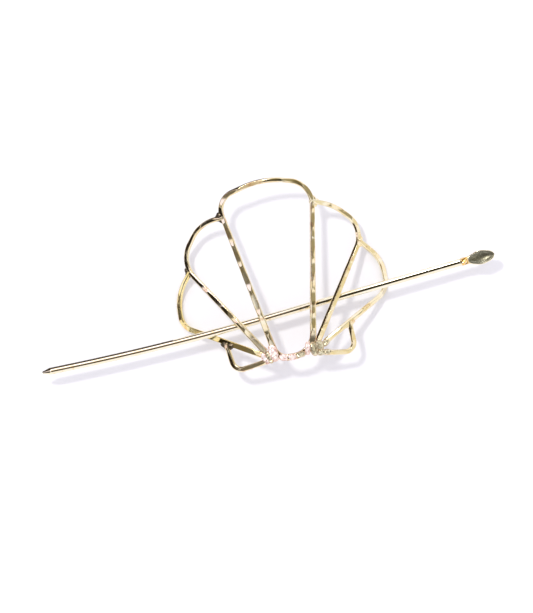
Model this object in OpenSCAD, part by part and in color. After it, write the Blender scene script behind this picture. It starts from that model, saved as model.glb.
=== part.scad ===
// Hair slide: an open scallop shell of hammered brass wire, arched to lie over a bun,
// and the round stick that is pushed across it through the hair.
// Millimetres. +X runs across the shell, +Y from its base to its crown, +Z up.
// The slide lies on the plane z = 0, and the origin is the middle of its footprint.

/* [Shell] */
// Distance across the shell between the centrelines of its outermost wires
shell_width = 73.8; // [71:0.2:77]
// Radius that the soldered shell is bent to across its width
arch_radius = 54; // [52:0.2:58]
// Diameter of the round wire before it is hammered
wire_diameter = 1.85; // [1.7:0.05:2.1]
// Size of the solder lumps, as a share of their usual size
solder_share = 1; // [0.8:0.05:1.2]

/* [Stick] */
// Diameter of the round rod
rod_diameter = 2.5; // [2:0.1:2.6]
// Height of the rod's centreline above the surface that the slide lies on
rod_height = 9.58; // [9.5:0.02:9.66]
// Straight stretch of the rod, from its bow to the neck of the paddle
straight_stretch = 71.6; // [60:0.2:80]
// Length of the gently bowed stretch, from the straight one to the point
bow_stretch = 78.4; // [60:0.2:90]
// Radius that the bowed stretch follows
bow_radius = 970; // [700:10:2000]
// Length of the filed taper at the point
taper_length = 2.2; // [1:0.1:4]
// Radius of the blunt tip of the point
tip_radius = 0.55; // [0.3:0.05:0.8]

/* [Paddle] */
// Length of the forged neck, which runs out on the paddle
neck_length = 5; // [3:0.5:7]
// Length of the paddle, from the end of the rod to its outer end
paddle_length = 12.1; // [8:0.1:16]
// Width of the paddle at its widest
paddle_width = 5.1; // [4:0.1:6]
// Thickness of the paddle's blade
blade_thickness = 1.3; // [1:0.1:1.6]
// Depth of the hollow hammered into the paddle's face
dish_depth = 0.35; // [0.1:0.05:0.5]

/* [Hidden] */
$fn = 48;

// Spacing of the cross-sections along a hammered wire, and their number of sides
SECTION_STEP = 3;
WIRE_SIDES = 10;
// Largest turn between two cross-sections in a bend, in degrees
BEND_STEP = 18;
// Facets round a solder drop
DROP_SIDES = 14;

// The bends of each wire in plan, seen from above, from the middle of the shell's base.
// Columns: x, y, bend radius (0 at a cut end), width of the hammered wire
CENTRAL_LOOP = [
    [-6.1, -1.4, 5, 2.3],
    [-17.3, 57.7, 6.5, 1.9],
    [0.3, 62.1, 30, 1.8],
    [17.1, 57.5, 8.5, 1.9],
    [6.6, -1.4, 8, 2.3],
];
LEFT_SECOND = [
    [-16.0, 51.0, 0, 1.8],
    [-24.2, 51.0, 12, 1.8],
    [-33.6, 38.2, 10, 1.9],
    [-9.9, 2.0, 0, 2.3],
];
LEFT_OUTER = [
    [-30.8, 34.6, 0, 1.8],
    [-37.1, 26.8, 18, 1.9],
    [-37.1, 15.9, 6, 1.9],
    [-10.6, 0.7, 0, 2.1],
];
LEFT_TAIL = [
    [-23.0, 7.4, 0, 1.9],
    [-21.5, -3.1, 3.4, 2.0],
    [-10.4, -1.5, 0, 1.9],
];
RIGHT_SECOND = [
    [15.0, 51.4, 0, 1.8],
    [22.9, 48.6, 18, 1.8],
    [30.0, 41.3, 9, 1.9],
    [29.9, 34.5, 8, 2.0],
    [9.0, 2.4, 0, 2.3],
];
RIGHT_OUTER = [
    [29.6, 34.8, 0, 1.8],
    [36.7, 26.4, 14, 1.9],
    [36.7, 15.6, 7.5, 1.9],
    [11.6, 1.7, 0, 2.1],
];
RIGHT_TAIL = [
    [21.2, 7.2, 0, 1.9],
    [21.5, -3.7, 3.2, 1.9],
    [10.6, -2.1, 0, 1.9],
];
OPEN_WIRES = [LEFT_SECOND, LEFT_OUTER, LEFT_TAIL, RIGHT_SECOND, RIGHT_OUTER, RIGHT_TAIL];

// Solder, one row for each web or lump, which is drawn round two or three drops.
// Columns of each drop: x, y, radius
SOLDER = [
    // Webs where a lobe's wire meets its neighbour, left and then right
    [[-16.2, 51.4, 1.15], [-17.9, 51.0, 0.95], [-15.7, 49.4, 1.05]],
    [[-31.0, 36.1, 1.05], [-31.7, 33.5, 0.95], [-30.1, 33.6, 1.0]],
    [[-23.7, 7.9, 1.0], [-22.8, 5.9, 0.95], [-21.4, 6.6, 1.0]],
    [[15.1, 52.4, 1.1], [17.1, 50.7, 0.95], [15.1, 50.0, 1.05]],
    [[29.9, 35.5, 1.05], [31.1, 33.3, 0.95], [29.1, 33.3, 1.05]],
    [[22.1, 7.6, 1.0], [21.3, 5.5, 0.95], [19.9, 6.2, 1.0]],
    // The left cluster at the base
    [[-8.9, 1.3, 1.25], [-6.4, 1.5, 1.35], [-6.2, -0.2, 1.3]],
    [[-10.0, 0.2, 1.2], [-9.3, -1.2, 1.25], [-6.8, -0.5, 1.25]],
    [[-10.3, -1.6, 1.1], [-8.2, -1.3, 1.1]],
    // The bar between the clusters
    [[-5.0, -0.6, 1.3], [-3.6, -1.2, 1.15]],
    [[-2.2, -1.4, 1.2], [-0.6, -1.4, 1.25]],
    [[1.4, -1.2, 1.15], [3.2, -0.7, 1.2]],
    // The right cluster at the base
    [[4.6, -0.4, 1.15], [6.7, -0.9, 1.2]],
    [[6.3, 1.6, 1.3], [8.6, 1.2, 1.3], [6.2, 0.0, 1.2]],
    [[10.4, 0.8, 1.25], [8.4, -0.4, 1.3], [10.6, -1.0, 1.2]],
    [[10.4, -2.0, 1.1], [7.6, -1.4, 1.2]],
];

// Where the stick lies, from the middle of the shell's base: the end of its straight
// stretch that meets the bow, and the heading of that stretch
STICK_SEAT = [-7.6, 13.5];
STICK_HEADING = 5.6;
// The paddle's axis turns back from the rod's by this much
PADDLE_SWING = -2.4;
// The paddle's outline. Columns: share of its length, share of its greatest width
PADDLE_OUTLINE = [
    [0, 0.4],
    [0.19, 0.48],
    [0.38, 0.8],
    [0.57, 1],
    [0.77, 0.86],
    [0.9, 0.64],
    [0.97, 0.36],
    [1, 0.14],
];
// Outline of the blunt tip. Columns: share of its radius across, and ahead
TIP_OUTLINE = [
    [0.4, 1],
    [0.8, 0.65],
    [1, 0.1],
];
// The filed point and the forged neck start this much under the rod's size
FORGED_STEP = 0.06;
// Depth that both are let into the rod's ends
LET_IN = 0.5;
// The neck ends at this share of the blade's thickness
NECK_END = 0.8;
// The shell's outermost wires are tapped flat on the surface over this much of its width
// on each side
EDGE_FLAT = 0.5;

// Size of the shell against the size that the bends are written for, and its middle
pattern_left = min([for (row = LEFT_OUTER) row[0]]);
pattern_right = max([for (row = RIGHT_OUTER) row[0]]);
stretch = shell_width / (pattern_right - pattern_left);
arch_x = (pattern_left + pattern_right) / 2 * stretch;
wire_area_factor = wire_diameter * wire_diameter;

function unit(v) = v / norm(v);
function flat(lists) = [for (list = lists) each list];
function plan_point(row) = [row[0], row[1]] * stretch;

// The round stretch of a wire at row b, between rows a and c: a list of [x, y, width]
function bend_points(a, b, c) =
    b[2] == 0 ? [concat(plan_point(b), b[3])] :
    let (
        corner = plan_point(b),
        radius = b[2] * stretch,
        to_a = unit(plan_point(a) - corner),
        to_c = unit(plan_point(c) - corner),
        half_angle = acos(to_a * to_c) / 2,
        centre = corner + unit(to_a + to_c) * radius / sin(half_angle),
        reach = radius / tan(half_angle),
        first = corner + to_a * reach - centre,
        last = corner + to_c * reach - centre,
        start = atan2(first[1], first[0]),
        swing = atan2(cross(first, last), first * last),
        steps = ceil(max(abs(swing) / BEND_STEP, abs(swing) * PI / 180 * radius / SECTION_STEP))
    )
    [for (i = [0:steps]) let (angle = start + swing * i / steps)
        [centre[0] + radius * cos(angle), centre[1] + radius * sin(angle), b[3]]];

// All bends of a wire, one after the other
function bent_wire(rows) =
    let (count = len(rows))
    flat([for (i = [0:count - 1])
        bend_points(rows[(i + count - 1) % count], rows[i], rows[(i + 1) % count])]);

// The same points with more between them, so that straight stretches follow the arch too
function filled(points, closed) =
    let (count = len(points), last = closed ? count - 1 : count - 2)
    concat(
        flat([for (i = [0:last])
            let (a = points[i], b = points[(i + 1) % count],
                steps = max(1, ceil(norm([b[0] - a[0], b[1] - a[1]]) / SECTION_STEP)))
            [for (j = [0:steps - 1]) a + (b - a) * j / steps]]),
        closed ? [] : [points[count - 1]]);

// The finished plan of a wire
function wire_plan(rows, closed) = filled(bent_wire(rows), closed);

// The arched sheet that all the wires lie in: its slope at x, its height above its flat
// edges, and its normal
edge_slope = asin((shell_width / 2 - EDGE_FLAT) / arch_radius);
function arch_slope(x) = asin((x - arch_x) / arch_radius);
function arch_rise(x) = max(0, arch_radius * (cos(arch_slope(x)) - cos(edge_slope)));
function arch_normal(x) = [sin(arch_slope(x)), 0, cos(arch_slope(x))];

// How far the wire's hammered section reaches below its centreline, at the arch's edge
edge_width = RIGHT_OUTER[1][3];
lean = asin(shell_width / 2 / arch_radius);
foot = norm([edge_width * sin(lean), wire_area_factor / edge_width * cos(lean)]) / 2;
function on_arch(x, y) = [x, y, foot + arch_rise(x)];

// The plane's origin, under the middle of the whole slide
all_plans = concat(wire_plan(CENTRAL_LOOP, true), flat([for (rows = OPEN_WIRES) wire_plan(rows, false)]));
shell_low_y = min([for (p = all_plans) p[1] - p[2] / 2]);
shell_high_y = max([for (p = all_plans) p[1] + p[2] / 2]);
bow_turn = bow_stretch / bow_radius * 180 / PI;
bow_chord = 2 * bow_radius * sin(bow_turn / 2);
stick_low_x = STICK_SEAT[0] - bow_chord * cos(STICK_HEADING - bow_turn / 2)
    - (taper_length + tip_radius) * cos(STICK_HEADING - bow_turn);
stick_high_x = STICK_SEAT[0] + straight_stretch * cos(STICK_HEADING)
    + paddle_length * cos(STICK_HEADING + PADDLE_SWING);
middle = [(stick_low_x + stick_high_x) / 2, (shell_low_y + shell_high_y) / 2];

// One hammered wire: an oval of its rolled-out width, carried along the arched path. The
// metal keeps its area, so where the wire is wider it is thinner.
module hammered_wire(rows, closed) {
    plan = wire_plan(rows, closed);
    count = len(plan);
    path = [for (p = plan) on_arch(p[0], p[1])];
    rings = [for (i = [0:count - 1])
        let (
            before = closed ? path[(i + count - 1) % count] : path[max(i - 1, 0)],
            after = closed ? path[(i + 1) % count] : path[min(i + 1, count - 1)],
            along = unit(after - before),
            across = unit(cross(along, arch_normal(path[i][0]))),
            up = cross(across, along),
            half_width = plan[i][2] / 2,
            half_height = wire_area_factor / plan[i][2] / 2
        )
        [for (side = [0:WIRE_SIDES - 1]) let (angle = 360 * side / WIRE_SIDES)
            path[i] + across * half_width * cos(angle) + up * half_height * sin(angle)]];
    walls = [for (i = [0:(closed ? count - 1 : count - 2)], side = [0:WIRE_SIDES - 1])
        let (
            here = i * WIRE_SIDES,
            there = ((i + 1) % count) * WIRE_SIDES,
            next = (side + 1) % WIRE_SIDES
        )
        each [[here + side, there + next, there + side], [here + side, here + next, there + next]]];
    start_cap = [for (side = [WIRE_SIDES - 1:-1:0]) side];
    end_cap = [for (side = [0:WIRE_SIDES - 1]) (count - 1) * WIRE_SIDES + side];
    polyhedron(flat(rings), closed ? walls : concat(walls, [start_cap, end_cap]));
}

// Solder that has run between the wires: a skin drawn round two or three drops
module solder_lump(drops) {
    hull()
        for (drop = drops)
            translate(on_arch(drop[0] * stretch, drop[1] * stretch))
                sphere(r = drop[2] * solder_share, $fn = DROP_SIDES);
}

module shell_frame() {
    color("goldenrod")
        translate([-middle[0], -middle[1], 0]) {
            hammered_wire(CENTRAL_LOOP, true);
            for (rows = OPEN_WIRES)
                hammered_wire(rows, false);
            for (drops = SOLDER)
                solder_lump(drops);
        }
}

// The straight stretch along +X, and the bowed one behind it, whose tangent there is +X
module rod() {
    rotate([0, 90, 0])
        cylinder(d = rod_diameter, h = straight_stretch);
    mirror([1, 0, 0])
        translate([0, bow_radius, 0])
            rotate([0, 0, -90])
                rotate_extrude(angle = bow_turn)
                    translate([bow_radius, 0])
                        circle(d = rod_diameter);
}

// The filed point along -X: a short cone with a blunt tip, turned from its outline
module point() {
    end_radius = (rod_diameter - FORGED_STEP) / 2;
    blunt_end = [for (row = TIP_OUTLINE) [row[0] * tip_radius, -taper_length - row[1] * tip_radius]];
    rotate([0, 90, 0])
        rotate_extrude()
            polygon(concat(
                [[0, -taper_length - tip_radius]],
                blunt_end,
                [[end_radius, 0], [end_radius, LET_IN], [0, LET_IN]]));
}

// Outline of the paddle along +X: a narrow stem that swells to a blunt leaf
module paddle_outline() {
    edge = [for (row = PADDLE_OUTLINE) [row[0] * paddle_length, row[1] * paddle_width / 2]];
    last = len(edge) - 1;
    polygon(concat(edge, [for (i = [last:-1:0]) [edge[i][0], -edge[i][1]]]));
}

// The forged end: the rod runs out in a cone over the flattened, slightly hollowed blade
module paddle() {
    dish_radius = (paddle_width * paddle_width / 4 + dish_depth * dish_depth) / (2 * dish_depth);
    translate([-LET_IN, 0, 0])
        rotate([0, 90, 0])
            cylinder(d1 = rod_diameter - FORGED_STEP, d2 = blade_thickness * NECK_END,
                h = neck_length + LET_IN);
    difference() {
        translate([0, 0, -blade_thickness / 2])
            linear_extrude(blade_thickness)
                paddle_outline();
        translate([neck_length, 0, blade_thickness / 2 - dish_depth + dish_radius])
            rotate([0, 90, 0])
                cylinder(r = dish_radius, h = paddle_length, $fn = 96);
    }
}

module stick() {
    color("darkkhaki")
        translate([STICK_SEAT[0] - middle[0], STICK_SEAT[1] - middle[1], rod_height])
            rotate([0, 0, STICK_HEADING]) {
                rod();
                translate([-bow_radius * sin(bow_turn), bow_radius * (1 - cos(bow_turn)), 0])
                    rotate([0, 0, -bow_turn])
                        point();
                translate([straight_stretch, 0, 0])
                    rotate([0, 0, PADDLE_SWING])
                        paddle();
            }
}

shell_frame();
stick();
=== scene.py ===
import math

import bpy
import numpy as np
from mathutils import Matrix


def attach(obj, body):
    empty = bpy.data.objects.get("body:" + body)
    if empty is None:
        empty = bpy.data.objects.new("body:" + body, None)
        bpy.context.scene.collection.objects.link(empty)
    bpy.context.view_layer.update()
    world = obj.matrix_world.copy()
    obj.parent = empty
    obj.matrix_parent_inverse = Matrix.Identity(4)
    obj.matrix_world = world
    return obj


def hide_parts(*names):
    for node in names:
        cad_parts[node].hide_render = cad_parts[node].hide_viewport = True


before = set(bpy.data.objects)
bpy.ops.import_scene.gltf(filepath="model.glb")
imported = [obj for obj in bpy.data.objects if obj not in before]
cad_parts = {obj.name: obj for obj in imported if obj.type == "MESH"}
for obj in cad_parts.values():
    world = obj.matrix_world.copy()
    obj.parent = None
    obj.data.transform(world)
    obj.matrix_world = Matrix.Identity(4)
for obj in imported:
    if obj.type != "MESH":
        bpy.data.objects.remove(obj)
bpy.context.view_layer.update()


# The shell's central loop. It is one length of round brass wire, bent into a tall loop that
# is flared at the crown and narrow at the base. The wire is hammered flat on an anvil, so its
# top is a row of small facets, and the whole shell is then arched over a mandrel.
# Lengths are in millimetres, apart from those of the room and the noises.
MM = 0.001
WIRE_DIAMETER = 1.85
ARCH_RADIUS = 54.0
# Half of the shell's width that the arch takes up: past it the wires lie flat on the surface
ARCH_HALF_WIDTH = 36.4
ARCH_MIDDLE_X = -0.2
# Height of the outermost wires' centreline
FOOT = 0.924
# Where the middle of the shell's base lies in the frame
SHELL_BASE = np.array([6.43, -28.946])
# Bends in plan, from the middle of the shell's base.
# Columns: x, y, bend radius (0 at a cut end), width of the hammered wire
CENTRAL_LOOP = [
    (-6.1, -1.4, 5, 2.3),
    (-17.3, 57.7, 6.5, 1.9),
    (0.3, 62.1, 30, 1.8),
    (17.1, 57.5, 8.5, 1.9),
    (6.6, -1.4, 8, 2.3),
]
# Points on each bend, and the spacing of a wire's rings
BEND_POINTS = 24
RING_STEP = 0.18


def bent_path(rows, closed):
    """Distances at even steps along a wire's plan, and its (x, y, width) there.

    Each bend is an arc tangent to its two straight stretches: its centre lies on the bisector
    of the corner, at the bend radius over the sine of half the corner's angle.
    """
    rows = np.array(rows, float)
    points = []
    for i, (x, y, radius, width) in enumerate(rows):
        corner = np.array([x, y])
        if radius == 0:
            points.append([[x, y, width]])
            continue
        to_last = rows[i - 1, :2] - corner
        to_next = rows[(i + 1) % len(rows), :2] - corner
        to_last /= np.linalg.norm(to_last)
        to_next /= np.linalg.norm(to_next)
        half_angle = math.acos(to_last @ to_next) / 2
        middle = (to_last + to_next) / np.linalg.norm(to_last + to_next)
        centre = corner + middle * radius / math.sin(half_angle)
        first = corner + to_last * radius / math.tan(half_angle) - centre
        last = corner + to_next * radius / math.tan(half_angle) - centre
        start = math.atan2(first[1], first[0])
        swing = math.atan2(first[0] * last[1] - first[1] * last[0], first @ last)
        turn = start + swing * np.linspace(0, 1, BEND_POINTS)
        arc = centre + radius * np.stack([np.cos(turn), np.sin(turn)], axis=1)
        points.append(np.column_stack([arc, np.full(BEND_POINTS, width)]))
    path = np.vstack(points)
    if closed:
        path = np.vstack([path, path[:1]])
    stretches = np.linalg.norm(np.diff(path[:, :2], axis=0), axis=1)
    reach = np.concatenate([[0], np.cumsum(stretches)])
    steps = int(round(reach[-1] / RING_STEP))
    even = np.linspace(0, reach[-1], steps + 1)
    if closed:
        even = even[:-1]
    return even, np.column_stack([np.interp(even, reach, path[:, i]) for i in range(3)])


def on_arch(plan):
    """Places of plan points on the arched sheet, and its normals there.

    The height is that of a cylinder lying along Y, cut off where it meets the surface.
    """
    x = plan[:, 0] - ARCH_MIDDLE_X
    over_axis = np.sqrt(ARCH_RADIUS**2 - x**2)
    rise = over_axis - math.sqrt(ARCH_RADIUS**2 - ARCH_HALF_WIDTH**2)
    places = np.column_stack([plan[:, 0], plan[:, 1], FOOT + np.maximum(rise, 0)])
    normals = np.column_stack([x, np.zeros(len(x)), over_axis]) / ARCH_RADIUS
    return places, normals


def surface_object(name, grid, marks, closed=False):
    """A mesh from a grid of points in millimetres, whose rows are rings.

    Each ring's end joins its start. closed joins the last ring to the first, and otherwise the
    two ends are closed by a fan round each end ring's middle. marks holds grids of numbers
    that the mesh keeps at its points, for its material.
    """
    rings, sides = grid.shape[:2]
    index = np.arange(rings * sides).reshape(rings, sides)
    here = index if closed else index[:-1]
    ahead = np.roll(index, -1, axis=0) if closed else index[1:]
    quads = np.stack([here, np.roll(here, -1, 1), np.roll(ahead, -1, 1), ahead], axis=-1)
    points = grid.reshape(-1, 3)
    faces = quads.reshape(-1, 4).tolist()
    if not closed:
        points = np.vstack([points, grid[0].mean(axis=0), grid[-1].mean(axis=0)])
        first_middle = np.full(sides, rings * sides)
        last_middle = first_middle + 1
        first_fan = np.stack([np.roll(index[0], -1), index[0], first_middle], axis=1)
        last_fan = np.stack([index[-1], np.roll(index[-1], -1), last_middle], axis=1)
        faces += first_fan.tolist() + last_fan.tolist()
    mesh = bpy.data.meshes.new(name)
    mesh.from_pydata((points * MM).tolist(), [], faces)
    mesh.polygons.foreach_set("use_smooth", np.ones(len(faces), bool))
    for mark, values in marks.items():
        values = np.broadcast_to(values, (rings, sides))
        column = values.reshape(-1)
        if not closed:
            column = np.concatenate([column, [values[0].mean(), values[-1].mean()]])
        kept = mesh.attributes.new(mark, "FLOAT", "POINT")
        kept.data.foreach_set("value", column.astype(np.float32))
    mesh.update()
    piece = bpy.data.objects.new(name, mesh)
    bpy.context.scene.collection.objects.link(piece)
    return piece


def soft_min(a, b, crease):
    """The smaller of two heights, with their crease rounded over the given height.

    With m the share of a, which is 1 where a is lower by the crease or more, it is
    b + (a - b) * m, less the crease * m * (1 - m).
    """
    mix = np.clip(0.5 + (b - a) / (2 * crease), 0, 1)
    return b + (a - b) * mix - crease * mix * (1 - mix)


def smooth_step(share):
    """A share that leaves 0 and reaches 1 gently: its square times 3 less its double."""
    return share * share * (3 - 2 * share)


# The patch that the torch coloured, in plan: its middle, and its half size across and along
FLUSH_MIDDLE = np.array([0.0, 0.5])
FLUSH_REACH = np.array([15.0, 10.0])


def torch_flush(grid):
    """How far the torch coloured the metal at each place.

    It is 1 within half of the flush's reach from its middle, and falls by a smooth step to 0
    at the reach.
    """
    distance = np.linalg.norm((grid[..., :2] - FLUSH_MIDDLE) / FLUSH_REACH, axis=-1)
    return smooth_step(np.clip(2 - 2 * distance, 0, 1))


# Corners of a wire's ring, and how far they crowd on to its hammered top, in radians
RING_SIDES = 44
CORNER_CROWDING = 0.5
# How much of its spacing a blow may be off its place, and how many pitches its dish reaches
BLOW_SCATTER = 0.25
BLOW_REACH = 2
# A height above every dish, which the cuts start from
UNCUT_HEIGHT = 9.0
# Heights over which the creases are rounded: between two dishes, along the edge of the dishes
# and of the bevel, and along the edge of the anvil's flat
DISH_CREASE = 0.012
EDGE_CREASE = 0.03
ANVIL_CREASE = 0.08
# The anvil's flat, as a share of the wire's half height
ANVIL_SHARE = 0.86
# The bevel along the right wires' inner edges: the distance over which it begins and ends,
# how far out it ends, and how much its depth wavers
BEVEL_START = 8.0
BEVEL_END = 36.0
BEVEL_WAVER = 0.3
# Round a wire the colour is FLUSH_SIDE - FLUSH_FALL * sine of the angle: whole on its sides
# and underneath, and least on its top
FLUSH_SIDE = 1.5
FLUSH_FALL = 1.7
FLUSH_LEAST = 0.1


def hammered_wire(name, rows, blows, seed, closed=False):
    """A hammered wire: distance along it by angle round its section.

    The section is an oval of the wire's own area. Long flat blows take turns with short ones,
    and each cuts the wire's top down to a dish: a plane that leans as the blows say, plus a
    parabola along the wire and one across it. On the shell's right half a narrow bevel runs
    along the inner edge, as a plane that keeps its tilt to the level. The anvil flattens the
    underside. The wire's surface is the innermost of them all, with rounded creases.
    """
    random = np.random.default_rng(seed)
    reach, plan = bent_path(rows, closed)
    length = reach[-1] + (RING_STEP if closed else 0)
    places, normals = on_arch(plan)
    if closed:
        along = np.roll(places, -1, 0) - np.roll(places, 1, 0)
    else:
        along = np.gradient(places, axis=0)
    along /= np.linalg.norm(along, axis=1)[:, None]
    across = np.cross(along, normals)
    across /= np.linalg.norm(across, axis=1)[:, None]
    up = np.cross(across, along)
    # The oval, with more of its corners on the hammered top than underneath
    width = plan[:, 2]
    height = WIRE_DIAMETER**2 / width
    turn = 2 * np.pi * (np.arange(RING_SIDES) / RING_SIDES)
    angle = turn + CORNER_CROWDING * np.cos(turn)
    beside = np.cos(angle) * width[:, None] / 2
    above = np.sin(angle) * height[:, None] / 2
    crown = height[:, None] / 2
    # The blows, one after the other along the wire, begun one blow before its start
    cut = np.full(beside.shape, UNCUT_HEIGHT)
    pairs = max(1, int(round(length / blows["pitch"])))
    spacing = length / (2 * pairs)
    for blow in range(-1, 2 * pairs + 1):
        radius, shallow, deep, least, most = blows["long" if blow % 2 else "short"]
        place = (blow + 0.5 + random.uniform(-BLOW_SCATTER, BLOW_SCATTER)) * spacing
        depth = random.uniform(shallow, deep)
        to_crown = math.tan(math.radians(random.uniform(least, most)))
        outwards = math.tan(math.radians(random.uniform(*blows["outwards"])))
        rock = math.tan(math.radians(random.uniform(*blows["rock"])))
        if blow % 4 >= 2:
            rock = -rock
        ahead = reach - place
        if closed:
            ahead = (ahead + length / 2) % length - length / 2
        middle = plan[np.argmin(np.abs(ahead)), :2]
        near = np.abs(ahead) < BLOW_REACH * blows["pitch"]
        offset = plan[near, None, :2] - middle + beside[near, :, None] * across[near, None, :2]
        lean = np.array([outwards * np.sign(middle[0]), to_crown])
        dish = crown[near] - depth - offset @ lean + rock * beside[near]
        dish += ahead[near, None] ** 2 / (2 * radius)
        dish += beside[near] ** 2 / (2 * blows["face"])
        cut[near] = soft_min(cut[near], dish, DISH_CREASE)
    struck = soft_min(above, cut, EDGE_CREASE)
    # The bevel: its plane touches the oval and is then let in by its depth
    bevel_tilt, bevel_depth = blows["bevel"]
    tilt = math.radians(bevel_tilt) + np.arcsin(across[:, 2])
    touching = np.hypot(width / 2 * np.sin(tilt), height / 2 * np.cos(tilt))
    begun = np.clip(plan[:, 0] / BEVEL_START, 0, 1)
    begun *= np.clip((BEVEL_END - plan[:, 0]) / BEVEL_START, 0, 1)
    waver = 1 + BEVEL_WAVER * np.sin(2 * np.pi * reach / blows["pitch"])
    level = (touching - bevel_depth * begun * waver)[:, None]
    bevel = (level - beside * np.sin(tilt)[:, None]) / np.cos(tilt)[:, None]
    struck = soft_min(struck, bevel, EDGE_CREASE)
    # The flat that the anvil left underneath
    struck = -soft_min(-struck, crown * ANVIL_SHARE, ANVIL_CREASE)
    grid = places[:, None, :] + beside[..., None] * across[:, None, :]
    grid += struck[..., None] * up[:, None, :]
    flush = torch_flush(grid) * np.clip(FLUSH_SIDE - FLUSH_FALL * np.sin(angle), FLUSH_LEAST, 1)
    grid[..., :2] += SHELL_BASE
    return surface_object(name, grid, {"flush": flush}, closed)


# Distance between the nodes of a material, which stand in one row
NODE_SPACING = 200
# Values of the noise between which a metal turns from deep to pale, and the stains' soft edge
PATCH_EDGE = (0.35, 0.65)
STAIN_EDGE = 0.08
# What breaks up the flush and the dark mark, which is partly patina and partly painted shade.
# Columns: scale of the noise (per metre), and its values where the mark begins and where it is
# whole
FLUSH_SPECKLE = (1300.0, 0.30, 0.50)
PATINA_SPECKLE = (3000.0, -0.2, 0.5)
# How much rougher the metal is under the flush and under the dark mark of patina and painted
# shade
FLUSH_ROUGHNESS = 0.18
PATINA_ROUGHNESS = 0.32
# The polishing marks: scale of their noise (per metre), strength, and depth in metres
POLISH_SCALE = 2600.0
POLISH_STRENGTH = 0.1
POLISH_DEPTH = 0.00003


def node(tree, kind, **values):
    """A shader node with its own properties and the named sockets' values set."""
    made = tree.nodes.new(kind)
    made.location.x = NODE_SPACING * len(tree.nodes)
    for key, value in values.items():
        if key in made.inputs:
            made.inputs[key].default_value = value
        else:
            setattr(made, key, value)
    return made


def product(tree, one, other):
    """One value times another."""
    both = node(tree, "ShaderNodeMath", operation="MULTIPLY")
    tree.links.new(one, both.inputs[0])
    tree.links.new(other, both.inputs[1])
    return both.outputs["Value"]


def speckle(tree, place, scale, low, high):
    """Noise of the place, stretched so that it is 0 below low and 1 above high."""
    noise = node(tree, "ShaderNodeTexNoise", Scale=scale, Detail=2.0)
    tree.links.new(place.outputs["Object"], noise.inputs["Vector"])
    stretched = node(tree, "ShaderNodeMapRange")
    stretched.inputs["From Min"].default_value = low
    stretched.inputs["From Max"].default_value = high
    tree.links.new(noise.outputs["Fac"], stretched.inputs["Value"])
    return stretched.outputs["Result"]


def marked(tree, mark, place, broken_up):
    """A mark that the mesh carries, times the speckle that breaks it up."""
    carried = node(tree, "ShaderNodeAttribute", attribute_name=mark)
    return product(tree, carried.outputs["Fac"], speckle(tree, place, *broken_up))


def tinted(tree, under, share, colour):
    """The colour under, mixed with another one by a share."""
    mix = node(tree, "ShaderNodeMix", data_type="RGBA")
    mix.inputs["B"].default_value = (*colour, 1)
    tree.links.new(share, mix.inputs["Factor"])
    tree.links.new(under, mix.inputs["A"])
    return mix.outputs["Result"]


def metal(name, pale, deep, stain, spots, flush, patina_and_painted_shade, roughness, mottle, metallic=1.0):
    """Polished metal that is deeper in patches and stained in spots, with fine polishing marks.

    Its mesh marks where the torch flushed it, and where its colour is dark and duller: a
    speckled patina in the paddle's bowl that also paints in the bowl's dark reflection, and
    painted shade on the left solder webs.
    spots holds the scale of the stains' noise and the value that they start from, roughness
    its values in the deep and in the pale patches, and mottle the scale of the patches' noise.
    """
    material = bpy.data.materials.new(name)
    material.use_nodes = True
    tree = material.node_tree
    link = tree.links.new
    shader = tree.nodes["Principled BSDF"]
    shader.inputs["Metallic"].default_value = metallic
    place = node(tree, "ShaderNodeTexCoord")
    patches = node(tree, "ShaderNodeTexNoise", Scale=mottle, Detail=3.0)
    link(place.outputs["Object"], patches.inputs["Vector"])
    gold = node(tree, "ShaderNodeValToRGB")
    for stop, position, colour in zip(gold.color_ramp.elements, PATCH_EDGE, (deep, pale)):
        stop.position = position
        stop.color = (*colour, 1)
    link(patches.outputs["Fac"], gold.inputs["Fac"])
    stains = speckle(tree, place, spots[0], spots[1], spots[1] + STAIN_EDGE)
    stained = tinted(tree, gold.outputs["Color"], stains, stain)
    flushed = marked(tree, "flush", place, FLUSH_SPECKLE)
    warm = tinted(tree, stained, flushed, flush)
    # The dark mark: a patina in the paddle's bowl, and painted shade where it stands in for dark
    # reflections
    dulled = marked(tree, "patina_and_painted_shade", place, PATINA_SPECKLE)
    link(tinted(tree, warm, dulled, patina_and_painted_shade), shader.inputs["Base Color"])
    wear = node(tree, "ShaderNodeMapRange")
    wear.inputs["To Min"].default_value = roughness[0]
    wear.inputs["To Max"].default_value = roughness[1]
    link(patches.outputs["Fac"], wear.inputs["Value"])
    rough = wear.outputs["Result"]
    for share, more in ((dulled, PATINA_ROUGHNESS), (flushed, FLUSH_ROUGHNESS)):
        rougher = node(tree, "ShaderNodeMath", operation="MULTIPLY_ADD")
        rougher.inputs[1].default_value = more
        link(share, rougher.inputs[0])
        link(rough, rougher.inputs[2])
        rough = rougher.outputs["Value"]
    link(rough, shader.inputs["Roughness"])
    scratches = node(tree, "ShaderNodeTexNoise", Scale=POLISH_SCALE, Detail=2.0)
    link(place.outputs["Object"], scratches.inputs["Vector"])
    bump = node(tree, "ShaderNodeBump", Strength=POLISH_STRENGTH, Distance=POLISH_DEPTH)
    link(scratches.outputs["Fac"], bump.inputs["Height"])
    link(bump.outputs["Normal"], shader.inputs["Normal"])
    return material


# What the brass of all the wires has in common
WIRE_FINISH = {
    "spots": (420.0, 0.60),
    "flush": (0.62, 0.34, 0.20),
    # This dark colour is used only on the left webs, where it is painted shade
    "patina_and_painted_shade": (0.13, 0.10, 0.07),
    "roughness": (0.04, 0.11),
    "mottle": 260.0,
}
HAMMERED_BRASS = metal(
    "hammered_brass",
    pale=(0.91, 0.83, 0.61),
    deep=(0.87, 0.73, 0.43),
    stain=(0.80, 0.60, 0.38),
    **WIRE_FINISH,
)


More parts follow.
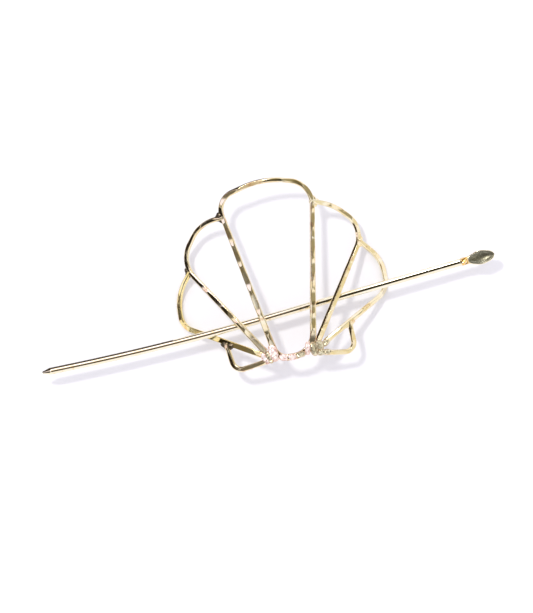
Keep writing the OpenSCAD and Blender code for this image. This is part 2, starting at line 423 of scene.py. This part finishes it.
def shell_piece(piece, material):
    """Gives a piece of the shell its metal, and lets it ride with the shell's body."""
    piece.data.materials.append(material)
    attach(piece, "shell")
    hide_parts("shell_frame")


# How the ribs were struck. pitch is the distance between two blows of a kind, outwards their
# least and greatest lean away from the shell's middle, and rock the same to one side of the
# wire and to the other in turn, in degrees. face is the roundness of the hammer's face across
# the wire, and bevel holds the bevel's tilt in degrees and its depth. long and short hold the
# radius of a blow's dish along the wire, its least and greatest depth, and its least and
# greatest lean towards the crown, in degrees.
RIB_BLOWS = {
    "pitch": 8.6,
    "outwards": (2.0, 6.0),
    "rock": (0.5, 3.0),
    "face": 60.0,
    "bevel": (14.0, 0.085),
    "long": (45.0, 0.10, 0.15, -1.5, 1.5),
    "short": (22.0, 0.06, 0.12, 6.0, 10.0),
}
central_loop = hammered_wire("central_loop", CENTRAL_LOOP, RIB_BLOWS, seed=3, closed=True)
shell_piece(central_loop, HAMMERED_BRASS)


# The second lobes, left and right of the loop. Each is one wire, soldered to the loop's
# shoulder, that makes a short round arc at the crown and runs down to the base as a long rib.
LEFT_SECOND = [
    (-16.0, 51.0, 0, 1.8),
    (-24.2, 51.0, 12, 1.8),
    (-33.6, 38.2, 10, 1.9),
    (-9.9, 2.0, 0, 2.3),
]
RIGHT_SECOND = [
    (15.0, 51.4, 0, 1.8),
    (22.9, 48.6, 18, 1.8),
    (30.0, 41.3, 9, 1.9),
    (29.9, 34.5, 8, 2.0),
    (9.0, 2.4, 0, 2.3),
]
# The left wire was struck deeper and more squarely, and the wires on the right with the
# hammer leaning towards the base instead. The right one's bevel is the deepest of all
LEFT_SECOND_BLOWS = {
    **RIB_BLOWS,
    "outwards": (-1.0, 2.0),
    "long": (45.0, 0.16, 0.22, -1.5, 1.5),
    "short": (22.0, 0.10, 0.16, 5.0, 8.0),
}
RIGHT_BLOWS = {
    **RIB_BLOWS,
    "bevel": (27.0, 0.085),
    "long": (45.0, 0.10, 0.15, -8.0, -4.0),
    "short": (22.0, 0.06, 0.12, -13.0, -8.0),
}
RIGHT_SECOND_BLOWS = {**RIGHT_BLOWS, "bevel": (27.0, 0.13)}
left_second = hammered_wire("left_second_lobe", LEFT_SECOND, LEFT_SECOND_BLOWS, seed=11)
shell_piece(left_second, HAMMERED_BRASS)
right_second = hammered_wire("right_second_lobe", RIGHT_SECOND, RIGHT_SECOND_BLOWS, seed=12)
shell_piece(right_second, HAMMERED_BRASS)


# The outer lobes. Each wire starts at the second lobe's shoulder, rounds the shell's side,
# where it touches the surface, and runs back to the base.
LEFT_OUTER = [
    (-30.8, 34.6, 0, 1.8),
    (-37.1, 26.8, 18, 1.9),
    (-37.1, 15.9, 6, 1.9),
    (-10.6, 0.7, 0, 2.1),
]
RIGHT_OUTER = [
    (29.6, 34.8, 0, 1.8),
    (36.7, 26.4, 14, 1.9),
    (36.7, 15.6, 7.5, 1.9),
    (11.6, 1.7, 0, 2.1),
]
# The left one was struck with the hammer leaning farther outwards, and its brass is yellower
LEFT_OUTER_BLOWS = {**RIB_BLOWS, "outwards": (6.0, 10.0)}
YELLOW_BRASS = metal(
    "yellow_hammered_brass",
    pale=(0.93, 0.82, 0.46),
    deep=(0.90, 0.70, 0.28),
    stain=(0.82, 0.58, 0.25),
    **WIRE_FINISH,
)
left_outer = hammered_wire("left_outer_lobe", LEFT_OUTER, LEFT_OUTER_BLOWS, seed=21)
shell_piece(left_outer, YELLOW_BRASS)
right_outer = hammered_wire("right_outer_lobe", RIGHT_OUTER, RIGHT_BLOWS, seed=22)
shell_piece(right_outer, HAMMERED_BRASS)


# The shell's ears: two short wires, one each side, bent round a small corner and soldered
# at one end to the outer lobe and at the other to the base.
LEFT_EAR = [
    (-23.0, 7.4, 0, 1.9),
    (-21.5, -3.1, 3.4, 2.0),
    (-10.4, -1.5, 0, 1.9),
]
RIGHT_EAR = [
    (21.2, 7.2, 0, 1.9),
    (21.5, -3.7, 3.2, 1.9),
    (10.6, -2.1, 0, 1.9),
]
shell_piece(hammered_wire("left_ear", LEFT_EAR, RIB_BLOWS, seed=31), HAMMERED_BRASS)
shell_piece(hammered_wire("right_ear", RIGHT_EAR, RIGHT_BLOWS, seed=32), HAMMERED_BRASS)


# Solder at the six places where a lobe's wire meets its neighbour. It has run into the
# corners between the two wires and set there as a small smooth web.
# Drops that each web runs together from. Columns: x, y, radius
JOINT_WEBS = {
    "left_shoulder_solder": [(-17.1, 52.3, 1.0), (-18.3, 51.0, 0.9), (-16.5, 50.1, 0.9)],
    "left_side_solder": [(-31.8, 35.4, 0.9), (-31.7, 33.6, 0.95), (-30.4, 33.4, 0.85)],
    "left_ear_solder": [(-23.9, 7.3, 1.0), (-22.6, 5.7, 1.1), (-21.2, 6.2, 1.0)],
    "right_shoulder_solder": [(16.5, 52.3, 0.8), (17.7, 50.9, 0.8), (16.6, 49.7, 0.85)],
    "right_side_solder": [(30.4, 35.3, 0.8), (31.0, 33.3, 0.8), (29.5, 33.0, 0.85)],
    "right_ear_solder": [(22.4, 7.0, 0.85), (21.3, 5.6, 0.85), (20.0, 5.7, 0.8)],
}
# Rings of a pool, and the corners of each
POOL_RINGS = 48
POOL_SIDES = 80
# How far from its middle a pool's outline is sought, and how often that span is halved
OUTLINE_SPAN = 9.0
OUTLINE_HALVINGS = 24
# The waves that lift a pool into lumps: how many, and the least and greatest multiple of the
# shape's wave number
LUMP_WAVES = 9
LUMP_WAVE_RANGE = (0.6, 2.2)
# The flush on a pool's rim is RIM_RISE * the share outwards - RIM_START
RIM_RISE = 2.2
RIM_START = 1.35


def solder_pool(name, drops, shape, seed):
    """A pool of solder over a few drops, from its underside's middle over its edge to its
    top's, by direction in plan.

    In plan its outline is where the drops' bells, exp(1 - (distance / radius) squared), add
    up to 1, found by halving a span again and again. Its profile is a squarish oval, and
    sines of the place, along ways drawn at random, lift it into soft lumps.
    """
    drops = np.array(drops, float)
    middle = drops[:, :2].mean(axis=0)
    turn = 2 * np.pi * np.arange(POOL_SIDES) / POOL_SIDES
    ways = np.column_stack([np.cos(turn), np.sin(turn)])
    inner = np.zeros(POOL_SIDES)
    outline = np.full(POOL_SIDES, OUTLINE_SPAN)
    for _ in range(OUTLINE_HALVINGS):
        half = (inner + outline) / 2
        offsets = (middle + half[:, None] * ways)[:, None, :] - drops[None, :, :2]
        bells = np.exp(1 - (offsets**2).sum(axis=-1) / drops[:, 2] ** 2)
        inside = bells.sum(axis=-1) > 1
        inner = np.where(inside, half, inner)
        outline = np.where(inside, outline, half)
    polar = np.pi * (np.arange(POOL_RINGS)[::-1] + 0.5) / POOL_RINGS
    outwards = np.sin(polar) ** shape["edge"]
    plan = middle + (outwards[:, None] * outline)[..., None] * ways
    places, normals = on_arch(plan.reshape(-1, 2))
    random = np.random.default_rng(seed)
    lift = np.zeros((POOL_RINGS, POOL_SIDES))
    for _ in range(LUMP_WAVES):
        wave = random.normal(0, 1, 2)
        wave *= shape["waves"] * random.uniform(*LUMP_WAVE_RANGE) / np.linalg.norm(wave)
        lift += np.sin(plan @ wave + random.uniform(0, 2 * np.pi))
    upright = np.sign(np.cos(polar)) * np.abs(np.cos(polar)) ** shape["edge"]
    rise = upright[:, None] * (shape["height"] + shape["lumps"] * lift)
    grid = (places + normals * rise.reshape(-1, 1)).reshape(POOL_RINGS, POOL_SIDES, 3)
    grid[..., :2] += SHELL_BASE
    rim = np.clip(RIM_RISE * outwards - RIM_START, 0, 1)[:, None] * shape["rim"]
    # A dark pool's colour is painted shade, in the place of its dark reflections
    return surface_object(name, grid, {"flush": rim, "patina_and_painted_shade": shape["dark"]})


# A pool's height over the wires' middle, how square its edge is, the height and the wave
# number (per mm) of its lumps, how far its rim is flushed, and how far its colour is painted
# dark as shade
WEB_SHAPE = {
    "height": 0.5, "edge": 0.8, "lumps": 0.012, "waves": 3.0, "rim": 0.0, "dark": 0.0,
}
# The left webs are higher, and their colour is painted dark: painted shade that stands in for
# the dark reflections in their hollow fillets
PAINTED_SHADE_WEB_SHAPE = {**WEB_SHAPE, "height": 0.7, "dark": 1.0}
WEB_SEED = 40
for number, (name, drops) in enumerate(JOINT_WEBS.items()):
    shape = PAINTED_SHADE_WEB_SHAPE if name.startswith("left") else WEB_SHAPE
    shell_piece(solder_pool(name, drops, shape, WEB_SEED + number), HAMMERED_BRASS)


# Solder at the base: chunky lumps that gather the ends of the ribs and ears, and lie in a row
# along the bar between them. It is a silver solder, paler than the wire and frosted, with
# coppery specks and rims from the torch, and some lumps are yellower than the rest.
PALE_SOLDER = metal(
    "pale_solder",
    pale=(0.92, 0.85, 0.80),
    deep=(0.76, 0.62, 0.56),
    stain=(0.58, 0.32, 0.26),
    spots=(1500.0, 0.55),
    flush=(0.66, 0.40, 0.28),
    patina_and_painted_shade=(0.30, 0.24, 0.15),
    roughness=(0.24, 0.42),
    mottle=700.0,
    metallic=0.45,
)
YELLOW_SOLDER = metal(
    "yellow_solder",
    pale=(0.80, 0.76, 0.55),
    deep=(0.50, 0.43, 0.27),
    stain=(0.20, 0.16, 0.10),
    spots=(1300.0, 0.57),
    flush=(0.55, 0.38, 0.22),
    patina_and_painted_shade=(0.30, 0.24, 0.15),
    roughness=(0.16, 0.32),
    mottle=700.0,
    metallic=0.75,
)
# Drops that each lump runs together from. Columns: x, y, radius
PALE_LUMPS = {
    "left_cluster_heart": [(-7.4, 3.0, 1.2), (-7.2, 1.3, 1.5), (-6.9, -0.6, 1.45)],
    "left_cluster_side": [(-10.9, 1.0, 0.85), (-10.5, -0.4, 0.95), (-9.8, -1.7, 0.85)],
    "left_bar_lump": [(-4.5, -0.9, 1.1), (-3.2, -1.3, 1.05)],
    "middle_bar_lump": [(-1.9, -1.5, 1.0), (-0.3, -1.5, 1.1)],
    "right_rib_foot": [(5.3, 2.0, 0.85), (4.9, 0.5, 0.95), (4.6, -0.9, 0.95)],
}
YELLOW_LUMPS = {
    "left_cluster_seam": [(-9.3, 1.3, 0.85), (-8.9, -0.3, 0.85), (-8.4, -1.7, 0.8)],
    "right_bar_lump": [(1.3, -1.4, 0.95), (2.9, -1.1, 1.05)],
    "right_cluster_heart": [(6.8, 1.3, 1.15), (7.0, -0.2, 1.3), (7.3, -1.6, 1.05)],
    "right_cluster_side": [(9.0, 1.7, 1.2), (9.4, 0.2, 1.3)],
    "right_cluster_foot": [(8.9, -1.8, 1.05), (10.2, -1.7, 0.95)],
    "right_ear_foot": [(11.2, -1.9, 0.95), (12.2, -2.1, 0.85)],
    "right_lobe_foot": [(11.1, 1.0, 1.0), (12.0, 1.7, 0.9)],
}
LUMP_SHAPE = {
    "height": 0.95, "edge": 0.7, "lumps": 0.055, "waves": 2.8, "rim": 1.0, "dark": 0.0,
}
LUMP_SEED = 60
for number, (name, drops) in enumerate({**PALE_LUMPS, **YELLOW_LUMPS}.items()):
    solder = PALE_SOLDER if name in PALE_LUMPS else YELLOW_SOLDER
    shell_piece(solder_pool(name, drops, LUMP_SHAPE, LUMP_SEED + number), solder)


# The stick. It is one length of round brass rod, filed to a blunt point at one end and forged
# flat at the other into a small leaf-shaped paddle with a dished face.
ROD_DIAMETER = 2.5
# Height of the rod's centreline over the surface
ROD_HEIGHT = 9.58
# The rod is straight from the paddle on, and then gently bowed to the point
STRAIGHT_STRETCH = 71.6
BOW_STRETCH = 78.4
BOW_RADIUS = 970.0
TAPER_LENGTH = 2.2
TIP_RADIUS = 0.55
# Where the straight stretch starts, from the middle of the shell's base, and how the stick
# and, off it, its paddle are turned
STICK_SEAT = np.array([-7.6, 13.5])
STICK_HEADING = math.radians(5.6)
PADDLE_SWING = math.radians(-2.4)
PADDLE_LENGTH = 12.1
PADDLE_WIDTH = 5.1
BLADE_THICKNESS = 1.3
NECK_LENGTH = 5.0
# Distance over which the rod's width turns into the paddle's
WIDENING_LENGTH = 0.6
# How much the power of the section's oval grows from 2, a plain oval's, along the neck
BLADE_SQUARENESS = 1.2
# The paddle's outline. Columns: share of its length, share of its greatest width
PADDLE_OUTLINE = np.array([
    (0.0, 0.49),
    (0.19, 0.5),
    (0.38, 0.8),
    (0.57, 1.0),
    (0.77, 0.88),
    (0.9, 0.66),
    (0.97, 0.4),
    (1.0, 0.12),
])
# The bowl hammered into the blade: its depth, the rim that it leaves, its least half width,
# its deepest place and its reach both ways from there as shares of the paddle's length, the
# power of its slope along the paddle, and the share of its depth that bulges the underside
BOWL_DEPTH = 0.85
RIM_WIDTH = 0.26
BOWL_LEAST_HALF = 0.05
BOWL_DEEPEST = 0.61
BOWL_TO_NECK = 0.46
BOWL_TO_TIP = 0.36
BOWL_POWER = 2.2
BULGE_SHARE = 0.3
# The bowl's dark, speckled patina, whose colour is also painted dark to stand in for the
# bowl's dark reflection: its middle and half length as shares of the paddle's length, the
# powers of its outline along and across, and its soft edge
PATINA_MIDDLE = 0.61
PATINA_REACH = 0.39
PATINA_POWER_ALONG = 10
PATINA_POWER_ACROSS = 2.5
PATINA_EDGE = 0.1
# The collar between rod and blade: where its middle is, its half length, its swelling, its
# facets with the cut and the twist (radians per mm) of their creases, and its flush
COLLAR_MIDDLE = 1.3
COLLAR_REACH = 1.15
COLLAR_SWELL = 0.22
COLLAR_FACETS = 6
COLLAR_CUT = 1.3
COLLAR_TWIST = 0.9
COLLAR_FLUSH = 1.8


def smooth_through(table, at):
    """Values of a smooth curve through a table's points: a cubic between each two, whose
    slopes at the points are those of the chords on either side."""
    x, y = table[:, 0], table[:, 1]
    slope = np.gradient(y, x)
    i = np.clip(np.searchsorted(x, at) - 1, 0, len(x) - 2)
    span = x[i + 1] - x[i]
    t = (at - x[i]) / span
    return (
        (1 + 2 * t) * (1 - t) ** 2 * y[i] + t * (1 - t) ** 2 * span * slope[i]
        + t * t * (3 - 2 * t) * y[i + 1] + t * t * (t - 1) * span * slope[i + 1]
    )


# Rings on the tip's ball, the taper, the rod, the paddle and the paddle's end, and the corners
# of each. The tip's first ring lies this angle off its pole, and the paddle's end begins at
# this share of its length
TIP_RINGS = 10
TAPER_RINGS = 12
ROD_RINGS = 260
PADDLE_RINGS = 90
END_RINGS = 12
STICK_SIDES = 64
TIP_POLE_ANGLE = 0.12
END_START = 0.96


def forged_stick(name):
    """The whole stick: distance along it by angle round its section.

    The section is a circle on the rod, on the cone of the point and on the ball of its tip.
    Along the neck it turns into an oval of a higher power, a flat rounded box, whose half
    width follows the outline. The bowl, 1 less a power of the distance along the paddle and
    the square of the one across it, is taken off the top and, in part, off the underside.
    """
    tip_reach = TAPER_LENGTH + TIP_RADIUS
    rod_end = tip_reach + BOW_STRETCH + STRAIGHT_STRETCH
    end_turn = np.linspace(0, np.pi / 2, END_RINGS)[1:]
    reach = np.concatenate([
        TIP_RADIUS * (1 - np.cos(np.linspace(TIP_POLE_ANGLE, np.pi / 2, TIP_RINGS))),
        np.linspace(TIP_RADIUS, tip_reach, TAPER_RINGS)[1:],
        np.linspace(tip_reach, rod_end, ROD_RINGS)[1:],
        np.linspace(rod_end, rod_end + PADDLE_LENGTH * END_START, PADDLE_RINGS)[1:],
        rod_end + PADDLE_LENGTH * (END_START + (1 - END_START) * np.sin(end_turn)),
    ])
    # Plan of the centreline, from the straight stretch's start, along its own heading
    bow = np.clip(tip_reach + BOW_STRETCH - reach, 0, BOW_STRETCH) / BOW_RADIUS
    whole_bow = BOW_STRETCH / BOW_RADIUS
    past_bow = np.clip(tip_reach - reach, 0, None)
    straight = np.clip(reach - tip_reach - BOW_STRETCH, 0, STRAIGHT_STRETCH)
    on_paddle = np.clip(reach - rod_end, 0, None)
    x = straight - BOW_RADIUS * np.sin(bow) - past_bow * math.cos(whole_bow)
    x += on_paddle * math.cos(PADDLE_SWING)
    y = BOW_RADIUS * (1 - np.cos(bow)) + past_bow * math.sin(whole_bow)
    y += on_paddle * math.sin(PADDLE_SWING)
    heading = STICK_HEADING + np.where(on_paddle > 0, PADDLE_SWING, -bow)[:, None]
    # The section's half sizes across and up, and its corners
    rod_half = ROD_DIAMETER / 2
    taper = np.clip((reach - TIP_RADIUS) / TAPER_LENGTH, 0, 1)
    cone = TIP_RADIUS + (rod_half - TIP_RADIUS) * taper
    ball = np.sqrt(np.clip(TIP_RADIUS**2 - (TIP_RADIUS - reach) ** 2, 0, None))
    half = np.where(reach < TIP_RADIUS, ball, np.where(reach < tip_reach, cone, rod_half))
    share = np.clip(on_paddle / PADDLE_LENGTH, 0, 1)
    leaf = smooth_through(PADDLE_OUTLINE, share) * PADDLE_WIDTH / 2
    widened = smooth_step(np.clip(on_paddle / WIDENING_LENGTH, 0, 1))
    half_across = (half + (leaf - half) * widened)[:, None]
    neck = np.clip(on_paddle / NECK_LENGTH, 0, 1)
    half_up = (half + (BLADE_THICKNESS / 2 - half) * smooth_step(neck))[:, None]
    power = (2 / (2 + BLADE_SQUARENESS * neck))[:, None]
    angle = 2 * np.pi * (np.arange(STICK_SIDES) + 0.5) / STICK_SIDES
    cosine = np.cos(angle)
    sine = np.sin(angle)
    beside = half_across * np.sign(cosine) * np.abs(cosine) ** power
    above = half_up * np.sign(sine) * np.abs(sine) ** power
    # The bowl: a rounded hollow over the blade that leaves a thin rim
    past_deepest = (share - BOWL_DEEPEST)[:, None]
    bowl_along = np.maximum(past_deepest / BOWL_TO_TIP, -past_deepest / BOWL_TO_NECK)
    bowl_across = beside / np.maximum(half_across - RIM_WIDTH, BOWL_LEAST_HALF)
    bowl = np.clip(1 - bowl_along**BOWL_POWER - bowl_across**2, 0, 1) * (share > 0)[:, None]
    on_face = sine > 0
    # The bowl's dark mark: a speckled patina that also paints in the bowl's dark reflection
    patina_along = np.abs(share - PATINA_MIDDLE)[:, None] / PATINA_REACH
    patina_and_painted_shade = 1 - patina_along**PATINA_POWER_ALONG - np.abs(bowl_across) ** PATINA_POWER_ACROSS
    patina_and_painted_shade = np.clip(patina_and_painted_shade / PATINA_EDGE, 0, 1) * on_face
    # The collar at the neck, where the rod was upset by the forging: its sides are
    # twisted facets
    collar = np.exp(-((on_paddle - COLLAR_MIDDLE) / COLLAR_REACH) ** 2) * (on_paddle > 0)
    collar = collar[:, None]
    creases = np.abs(np.sin(COLLAR_FACETS / 2 * angle + COLLAR_TWIST * on_paddle[:, None]))
    swell = 1 + collar * COLLAR_SWELL * (1 - COLLAR_CUT * creases)
    beside = beside * swell
    above = above * swell - BOWL_DEPTH * bowl * np.where(on_face, 1, BULGE_SHARE)
    cos_seat = math.cos(STICK_HEADING)
    sin_seat = math.sin(STICK_HEADING)
    grid = np.stack([
        (x * cos_seat - y * sin_seat)[:, None] - beside * np.sin(heading),
        (x * sin_seat + y * cos_seat)[:, None] + beside * np.cos(heading),
        ROD_HEIGHT + above,
    ], axis=-1)
    grid[..., :2] += SHELL_BASE + STICK_SEAT
    flush = np.clip(COLLAR_FLUSH * collar, 0, 1)
    return surface_object(name, grid, {"patina_and_painted_shade": patina_and_painted_shade, "flush": flush})


# The dark colour of its bowl is a patina and also painted shade for the bowl's dark reflection
POLISHED_BRASS = metal(
    "polished_brass",
    pale=(0.93, 0.87, 0.70),
    deep=(0.91, 0.82, 0.58),
    stain=(0.86, 0.72, 0.46),
    spots=(420.0, 0.62),
    flush=(0.88, 0.53, 0.14),
    patina_and_painted_shade=(0.17, 0.165, 0.115),
    roughness=(0.03, 0.07),
    mottle=180.0,
)
stick = forged_stick("forged_stick")
stick.data.materials.append(POLISHED_BRASS)
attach(stick, "stick")
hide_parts("stick")


# The white surface that the slide lies on, a wide matt sheet. It and all that follows stand
# round the part and are not part of it: the camera, the lamp, the white room, and a card and
# a cloth that only polished metal shows. From here on lengths are in metres.
FLOOR_HALF = 3.0
FLOOR_COLOUR = (0.76, 0.76, 0.76)
FLOOR_ROUGHNESS = 0.9


def matt_material(name, colour, roughness, shine):
    """A plain matt finish. shine is 0 for none, and 0.5 for a plain surface's."""
    material = bpy.data.materials.new(name)
    material.use_nodes = True
    shader = material.node_tree.nodes["Principled BSDF"]
    shader.inputs["Base Color"].default_value = (*colour, 1)
    shader.inputs["Roughness"].default_value = roughness
    shader.inputs["Specular IOR Level"].default_value = shine
    return material


def flat_thing(name, points, faces, material):
    """A thing of the room, made of flat faces between the given points."""
    mesh = bpy.data.meshes.new(name)
    mesh.from_pydata(points, [], faces)
    mesh.materials.append(material)
    thing = bpy.data.objects.new(name, mesh)
    bpy.context.scene.collection.objects.link(thing)
    return thing


floor = flat_thing(
    "white_surface",
    [
        (-FLOOR_HALF, -FLOOR_HALF, 0),
        (FLOOR_HALF, -FLOOR_HALF, 0),
        (FLOOR_HALF, FLOOR_HALF, 0),
        (-FLOOR_HALF, FLOOR_HALF, 0),
    ],
    [(0, 1, 2, 3)],
    matt_material("white_surface", FLOOR_COLOUR, FLOOR_ROUGHNESS, shine=0.0),
)


# The camera. It looks straight down, rolled so that the shell stands turned to the left.
VIEW_ROLL = math.radians(10.5)
VIEW_CENTRE = np.array([-0.16, -11.38]) * MM
VIEW_HEIGHT = 1.5
# Height at which the picture has its true scale
SUBJECT_HEIGHT = 0.009
PICTURE_PIXELS_TALL = 613
PIXEL = 0.3527 * MM
# Size of the sensor along the picture's longer side, its height, in millimetres as the lens is
SENSOR_SIZE = 36
camera_data = bpy.data.cameras.new("overhead_camera")
camera_data.sensor_width = SENSOR_SIZE
camera_data.lens = SENSOR_SIZE * (VIEW_HEIGHT - SUBJECT_HEIGHT) / (PICTURE_PIXELS_TALL * PIXEL)
camera = bpy.data.objects.new("overhead_camera", camera_data)
camera.location = (VIEW_CENTRE[0], VIEW_CENTRE[1], VIEW_HEIGHT)
camera.rotation_euler = (0, 0, -VIEW_ROLL)
bpy.context.scene.collection.objects.link(camera)
bpy.context.scene.camera = camera


# The lamp, a small round one to the picture's upper left, and the white room's own light.
LAMP_RIGHT = -0.66
LAMP_UP = 0.75
LAMP_ELEVATION = math.radians(63.4)
LAMP_DISTANCE = 1.6
LAMP_SIZE = 0.16
LAMP_POWER = 9.5
LAMP_SHINE = 0.3
LAMP_COLOUR = (1.0, 0.985, 0.95)
ROOM_COLOUR = (0.935, 0.915, 1.0)
ROOM_STRENGTH = 1.25
lamp_x = LAMP_RIGHT * math.cos(VIEW_ROLL) + LAMP_UP * math.sin(VIEW_ROLL)
lamp_y = -LAMP_RIGHT * math.sin(VIEW_ROLL) + LAMP_UP * math.cos(VIEW_ROLL)
lamp_data = bpy.data.lights.new("window_lamp", "AREA")
lamp_data.shape = "DISK"
lamp_data.size = LAMP_SIZE
lamp_data.energy = LAMP_POWER
lamp_data.specular_factor = LAMP_SHINE
lamp_data.color = LAMP_COLOUR
lamp = bpy.data.objects.new("window_lamp", lamp_data)
lamp.location = (
    lamp_x * LAMP_DISTANCE * math.cos(LAMP_ELEVATION),
    lamp_y * LAMP_DISTANCE * math.cos(LAMP_ELEVATION),
    LAMP_DISTANCE * math.sin(LAMP_ELEVATION),
)
lamp.rotation_euler = (math.pi / 2 - LAMP_ELEVATION, 0, math.atan2(lamp_y, lamp_x) + math.pi / 2)
bpy.context.scene.collection.objects.link(lamp)
room = bpy.data.worlds.new("white_room")
room.use_nodes = True
room.node_tree.nodes["Background"].inputs["Color"].default_value = (*ROOM_COLOUR, 1)
room.node_tree.nodes["Background"].inputs["Strength"].default_value = ROOM_STRENGTH
bpy.context.scene.world = room


# The card that hangs over the surface. It is a glowing white sheet with darker and brighter
# cloths on it, whose edges make the dark lines along the rod and the dark, olive and bright
# facets on the wires.
CARD_HEIGHT = 0.5
CARD_HALF = 4.2
# The card is turned with the rod, so that its own X runs along the rod in the picture
CARD_TURN = STICK_HEADING
CARD_WHITE = (1.12, 1.11, 1.20)
LILAC_WHITE = (1.25, 1.12, 1.45)
# What lies on the card, one thing over the other. Columns: from and to along the rod, from
# and to across it, the width of the soft edge, and the light that comes from there
CARD_SHAPES = [
    (-0.62, -0.34, 0.145, 0.30, 0.03, LILAC_WHITE),
    (-0.34, -0.22, 0.10, 0.30, 0.03, LILAC_WHITE),
    (-0.85, -0.62, 0.20, 0.30, 0.03, LILAC_WHITE),
    (-0.13, 0.015, 0.085, 0.75, 0.03, (2.0, 1.80, 1.9)),
    (-0.115, 0.0, 0.085, 0.15, 0.03, (0.62, 0.52, 0.40)),
    (-0.22, -0.13, 0.085, 0.40, 0.03, (0.13, 0.12, 0.10)),
    (-3.2, -0.13, 0.32, 4.2, 0.04, (0.05, 0.042, 0.034)),
    (-3.2, -1.0, 0.10, 0.40, 0.04, (0.03, 0.025, 0.02)),
    (-0.30, 0.015, 0.75, 4.2, 0.05, (0.05, 0.04, 0.025)),
    (-3.2, -0.24, -0.50, 0.10, 0.03, (0.20, 0.178, 0.148)),
    (-3.2, -0.50, -0.70, 0.16, 0.05, (0.025, 0.02, 0.016)),
    (0.135, 0.80, -0.095, 0.36, 0.03, (0.40, 0.36, 0.25)),
    (0.10, 0.26, 0.05, 0.26, 0.03, (0.16, 0.14, 0.09)),
    (0.18, 3.0, -0.45, -0.17, 0.05, (0.92, 0.86, 0.70)),
    (-0.16, 0.02, -0.416, 0.07, 0.015, (0.12, 0.09, 0.055)),
    (0.005, 0.12, -0.38, 0.30, 0.03, (0.05, 0.042, 0.025)),
    (0.06, 0.115, 0.42, 0.80, 0.03, (12.0, 12.0, 12.8)),
]


def soft_edge(tree, distance, place, side, width):
    """A smooth step over an edge: 0 before its place and 1 past it, the other way round where
    side is -1."""
    step = node(tree, "ShaderNodeMapRange", interpolation_type="SMOOTHSTEP")
    step.inputs["From Min"].default_value = place - side * width / 2
    step.inputs["From Max"].default_value = place + side * width / 2
    tree.links.new(distance, step.inputs["Value"])
    return step.outputs["Result"]


def glowing_card(name):
    """The card's light: its white, mixed with one shape's light after the other.

    A shape's share is the product of the smooth steps over its four edges.
    """
    material = bpy.data.materials.new(name)
    material.use_nodes = True
    tree = material.node_tree
    tree.nodes.remove(tree.nodes["Principled BSDF"])
    where = node(tree, "ShaderNodeTexCoord")
    apart = node(tree, "ShaderNodeSeparateXYZ")
    tree.links.new(where.outputs["Object"], apart.inputs["Vector"])
    along = apart.outputs["X"]
    across = apart.outputs["Y"]
    seen = None
    for x_low, x_high, y_low, y_high, edge, light in CARD_SHAPES:
        share = soft_edge(tree, along, x_low, 1, edge)
        share = product(tree, share, soft_edge(tree, along, x_high, -1, edge))
        share = product(tree, share, soft_edge(tree, across, y_low, 1, edge))
        share = product(tree, share, soft_edge(tree, across, y_high, -1, edge))
        mix = node(tree, "ShaderNodeMix", data_type="RGBA")
        mix.inputs["A"].default_value = (*CARD_WHITE, 1)
        mix.inputs["B"].default_value = (*light, 1)
        tree.links.new(share, mix.inputs["Factor"])
        if seen:
            tree.links.new(seen, mix.inputs["A"])
        seen = mix.outputs["Result"]
    glow = node(tree, "ShaderNodeEmission")
    tree.links.new(seen, glow.inputs["Color"])
    tree.links.new(glow.outputs["Emission"], tree.nodes["Material Output"].inputs["Surface"])
    return material


def show_in_metal_only(thing):
    """Hides a thing from the camera, from matt surfaces and from the lamp's shadows."""
    thing.visible_camera = False
    thing.visible_diffuse = False
    thing.visible_shadow = False


card = flat_thing(
    "ceiling_card",
    [
        (-CARD_HALF, -CARD_HALF, 0),
        (-CARD_HALF, CARD_HALF, 0),
        (CARD_HALF, CARD_HALF, 0),
        (CARD_HALF, -CARD_HALF, 0),
    ],
    [(0, 1, 2, 3)],
    glowing_card("ceiling_card"),
)
card.location = (0, 0, CARD_HEIGHT)
card.rotation_euler = (0, 0, CARD_TURN)
show_in_metal_only(card)


# A black cloth beyond the shell, laid on the surface and hung up the wall. It darkens the
# upper left edges of the wires and of the rod.
CLOTH_COLOUR = (0.05, 0.042, 0.03)
CLOTH_ROUGHNESS = 0.95
CLOTH_NEAR = 0.035
CLOTH_FAR = 2.0
CLOTH_RIGHT = 0.015
CLOTH_LIFT = 0.0004
# Left of the shell the cloth comes up to the rod
CLOTH_BY_ROD = -0.008
SHELL_LEFT = -0.036
cloth = flat_thing(
    "black_cloth",
    [
        (-CLOTH_FAR, CLOTH_BY_ROD, CLOTH_LIFT),
        (SHELL_LEFT, CLOTH_BY_ROD, CLOTH_LIFT),
        (SHELL_LEFT, CLOTH_NEAR, CLOTH_LIFT),
        (CLOTH_RIGHT, CLOTH_NEAR, CLOTH_LIFT),
        (CLOTH_RIGHT, CLOTH_FAR, CLOTH_LIFT),
        (-CLOTH_FAR, CLOTH_FAR, CLOTH_LIFT),
        (CLOTH_RIGHT, CLOTH_FAR, CARD_HEIGHT),
        (-CLOTH_FAR, CLOTH_FAR, CARD_HEIGHT),
    ],
    [(0, 1, 2, 3, 4, 5), (5, 4, 6, 7)],
    matt_material("black_cloth", CLOTH_COLOUR, CLOTH_ROUGHNESS, shine=0.5),
)
cloth.rotation_euler = (0, 0, CARD_TURN)
show_in_metal_only(cloth)

bpy.context.scene.view_settings.view_transform = "Standard"
